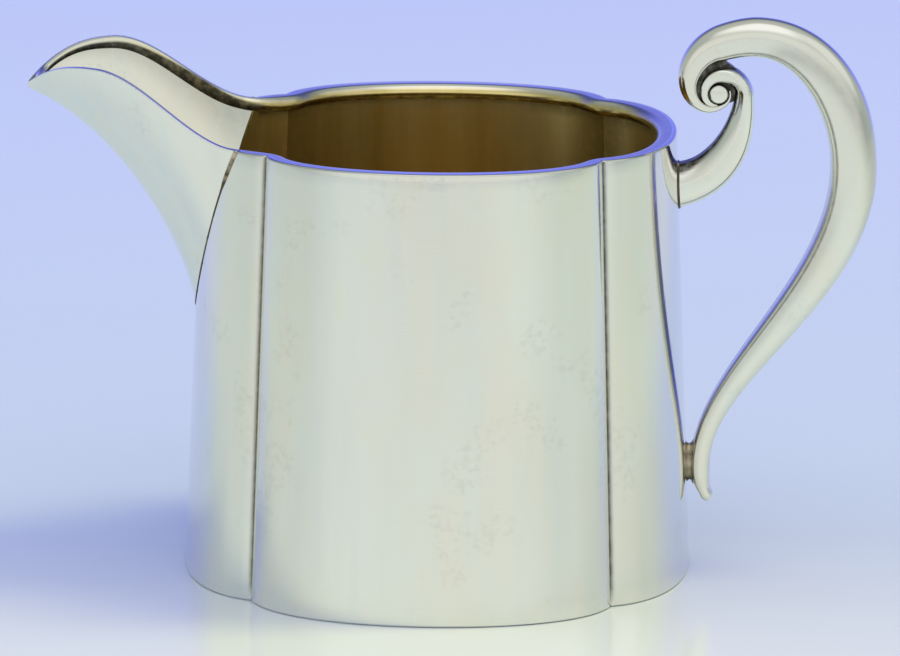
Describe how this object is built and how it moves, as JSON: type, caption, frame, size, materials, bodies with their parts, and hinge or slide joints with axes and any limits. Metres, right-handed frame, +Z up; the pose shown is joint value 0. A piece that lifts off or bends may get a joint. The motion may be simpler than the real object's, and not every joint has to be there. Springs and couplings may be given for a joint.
{
  "type": "cream jug",
  "caption": "Polished silver cream jug with a lobed cup that widens to a flat base, gilt inside, a flat rim band, a beak spout and a cast scroll handle.",
  "frame": {"origin": "centre of the flat underside of the base, on the cup's own axis", "axes": "+Z up, the spout points to -X and the handle to +X, and the two sides mirror each other across Y = 0"},
  "size_m": [0.136, 0.082, 0.0901],
  "materials": {
    "silver_sheet": "mirror-polished silver sheet with fine wear marks, gold-washed inside the cup",
    "gilt_band": "polished silver wire, gold-washed on its inner face",
    "silver_casting": "polished cast silver, darkened in its recesses",
    "solder": "dull brown-grey silver solder"
  },
  "bodies": {
    "root": {"base_plate": "silver_sheet", "body_wall": "silver_sheet", "rim_band": "gilt_band", "spout": "silver_sheet", "spout_band": "silver_sheet", "handle_loop": "silver_casting", "handle_strut": "silver_casting", "volute_bead": "silver_casting", "lower_solder_pad": "solder"}
  },
  "joints": []
}
